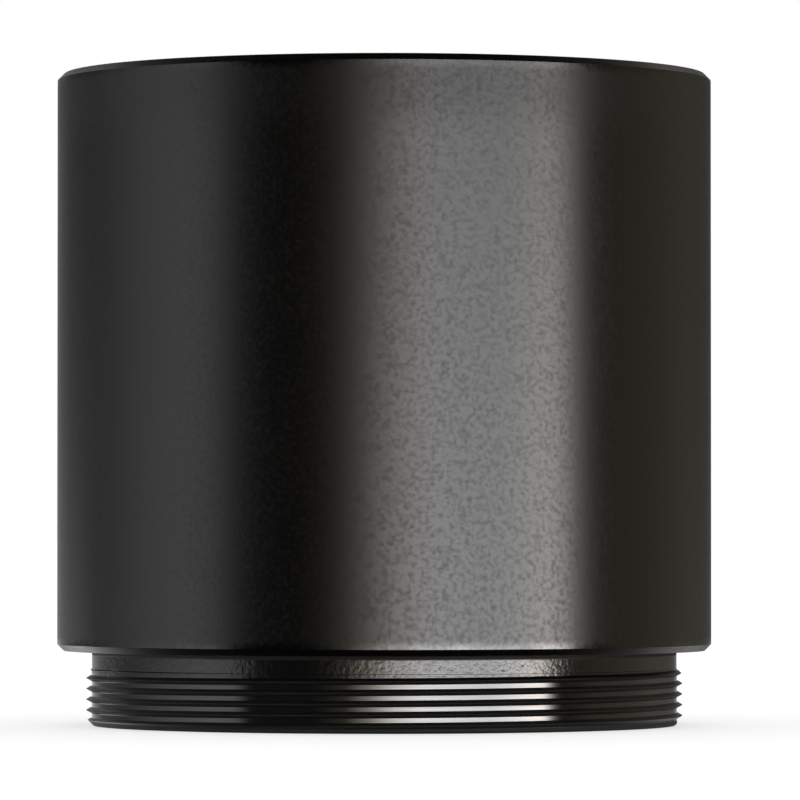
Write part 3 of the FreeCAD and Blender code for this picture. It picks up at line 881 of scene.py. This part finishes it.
# Each light has a brightness and a tint by degrees round from the front, and a share of it by
# degrees above the floor.
lights = (
    ("softbox",
     ((-26, 0, (1, 1, 1)), (-14, 0.02, (1, 0.85, 0.6)), (-5, 0.18, (1, 0.9, 0.75)),
      (4, 0.54, (1, 0.94, 0.88)), (14, 0.8, (1, 0.955, 0.98)), (26, 0.76, (0.99, 0.98, 0.985)),
      (42, 0.67, (0.965, 1, 1.015)), (52, 0.83, (1, 0.975, 0.945)), (60, 1, (1, 0.93, 0.88)),
      (65, 1, (1, 0.91, 0.85)), (68, 0.2, (1, 0.9, 0.8)), (71, 0, (1, 1, 1))),
     ((-28, 0), (-10, 0.05), (-6.4, 0.24), (-4.6, 1), (-1.1, 1), (0.7, 0.2), (9, 0.04),
      (30, 0.012), (45, 0))),
    ("walls of the room",
     ((-180, 0.06, (1, 1, 1)), (-168, 0.016, (1, 1, 1)), (-145, 0.0045, (1, 1, 1)),
      (-122, 0.005, (1, 1, 1)), (-108, 0.011, (1, 1, 1.05)), (-95, 0.02, (1, 1, 1.04)),
      (-72, 0.037, (1, 1, 1)), (-60, 0.037, (1, 0.97, 0.93)), (-54, 0, (1, 1, 1)),
      (70, 0, (1, 1, 1)), (90, 0.009, (1, 0.8, 0.55)), (128, 0.0092, (1, 0.9, 0.7)),
      (143, 0.006, (1, 0.9, 0.75)), (160, 0.004, (1, 0.95, 0.9)), (172, 0.012, (1, 1, 1)),
      (180, 0.06, (1, 1, 1))),
     ((-60, 0), (-35, 0.5), (-8, 0.8), (-4, 1.8), (-1.2, 1.8), (0.6, 0.92), (10, 1.1), (35, 0.8),
      (60, 0))),
    ("shine off the table",
     ((-180, 0.02, (1, 1, 1)), (-118, 0.02, (1, 1, 1)), (-75, 0.035, (1, 1, 1)),
      (-48, 0.002, (1, 1, 1)), (10, 0.002, (1, 1, 1)), (36, 0.012, (1, 1, 1)),
      (42, 0.1, (1, 1, 1)), (56, 0.1, (1, 1, 1)), (64, 0.012, (1, 1, 1)),
      (130, 0.02, (1, 1, 1)), (180, 0.02, (1, 1, 1))),
     ((-60, 0), (-45, 0.05), (-36, 0.25), (-29, 1.4), (-17, 1.4), (-11, 0))),
    ("panel high at the back",
     ((-155, 0, (1, 1, 1)), (-146, 0.045, (1, 1, 1)), (-100, 0.04, (1, 1, 1)),
      (-85, 0, (1, 1, 1)), (95, 0, (1, 1, 1)), (110, 0.06, (1, 1, 1)), (146, 0.06, (1, 1, 1)),
      (155, 0, (1, 1, 1))),
     ((14, 0), (19, 1), (30, 1), (37, 0))),
    ("strip light behind",
     ((-160, 0, (1, 1, 1)), (-151, 0.16, (1, 1, 1)), (-135, 0.16, (1, 1, 1)), (-125, 0, (1, 1, 1))),
     ((-27, 0), (-21, 1), (-9, 1), (-3, 0))),
)
tent_light = tent.nodes.new("ShaderNodeBackground")
tent_light.label = "what the lens reflects"
tent_light.inputs["Strength"].default_value = 21.5
lamp_frame = tent.nodes.new("NodeFrame")
lamp_frame.label = "lights of the tent"
total = None
for name, round_stops, height_stops in lights:
    by_angle = tent.nodes.new("ShaderNodeValToRGB")
    by_angle.label = f"{name}, by angle round"
    for place, (degrees, brightness, tint) in enumerate(round_stops):
        if place >= 2:
            by_angle.color_ramp.elements.new(1)
        stop = by_angle.color_ramp.elements[place]
        stop.position = (degrees + 180) / 360
        stop.color = (*[brightness * channel for channel in tint], 1)
    by_height = tent.nodes.new("ShaderNodeValToRGB")
    by_height.label = f"{name}, by height"
    for place, (degrees, share) in enumerate(height_stops):
        if place >= 2:
            by_height.color_ramp.elements.new(1)
        stop = by_height.color_ramp.elements[place]
        stop.position = (degrees + 90) / 180
        stop.color = (share, share, share, 1)
    shaped = tent.nodes.new("ShaderNodeMix")
    shaped.label = name
    shaped.data_type = "RGBA"
    shaped.blend_type = "MULTIPLY"
    shaped.inputs["Factor"].default_value = 1
    for node in (by_angle, by_height, shaped):
        node.parent = lamp_frame
    tent.links.new(turn.outputs["Result"], by_angle.inputs["Fac"])
    tent.links.new(climb.outputs["Result"], by_height.inputs["Fac"])
    tent.links.new(by_angle.outputs["Color"], shaped.inputs["A"])
    tent.links.new(by_height.outputs["Color"], shaped.inputs["B"])
    if total is None:
        total = shaped
    else:
        added = tent.nodes.new("ShaderNodeMix")
        added.label = f"with the {name}"
        added.data_type = "RGBA"
        added.blend_type = "ADD"
        added.inputs["Factor"].default_value = 1
        added.parent = lamp_frame
        tent.links.new(total.outputs["Result"], added.inputs["A"])
        tent.links.new(shaped.outputs["Result"], added.inputs["B"])
        total = added

dome = tent.nodes.new("ShaderNodeBackground")
dome.label = "even light on the floor"
dome.inputs["Color"].default_value = (1, 1, 1, 1)
dome.inputs["Strength"].default_value = 1.1
backdrop = tent.nodes.new("ShaderNodeBackground")
backdrop.label = "white backdrop"
backdrop.inputs["Color"].default_value = (1, 1, 1, 1)
path = tent.nodes.new("ShaderNodeLightPath")
path.label = "seen, reflected or lighting"
soft = tent.nodes.new("ShaderNodeMixShader")
soft.label = "dome for matt surfaces"
choice = tent.nodes.new("ShaderNodeMixShader")
choice.label = "backdrop behind everything"
seen_frame = tent.nodes.new("NodeFrame")
seen_frame.label = "what is seen, reflected and lit"
for node in (tent_light, dome, backdrop, path, soft, choice):
    node.parent = seen_frame
world_output = tent.nodes.new("ShaderNodeOutputWorld")
tent.links.new(total.outputs["Result"], tent_light.inputs["Color"])
tent.links.new(path.outputs["Is Diffuse Ray"], soft.inputs["Fac"])
tent.links.new(tent_light.outputs["Background"], soft.inputs[1])
tent.links.new(dome.outputs["Background"], soft.inputs[2])
tent.links.new(path.outputs["Is Camera Ray"], choice.inputs["Fac"])
tent.links.new(soft.outputs["Shader"], choice.inputs[1])
tent.links.new(backdrop.outputs["Background"], choice.inputs[2])
tent.links.new(choice.outputs["Shader"], world_output.inputs["Surface"])
set_out(tent)

bpy.context.scene.view_settings.view_transform = "Standard"
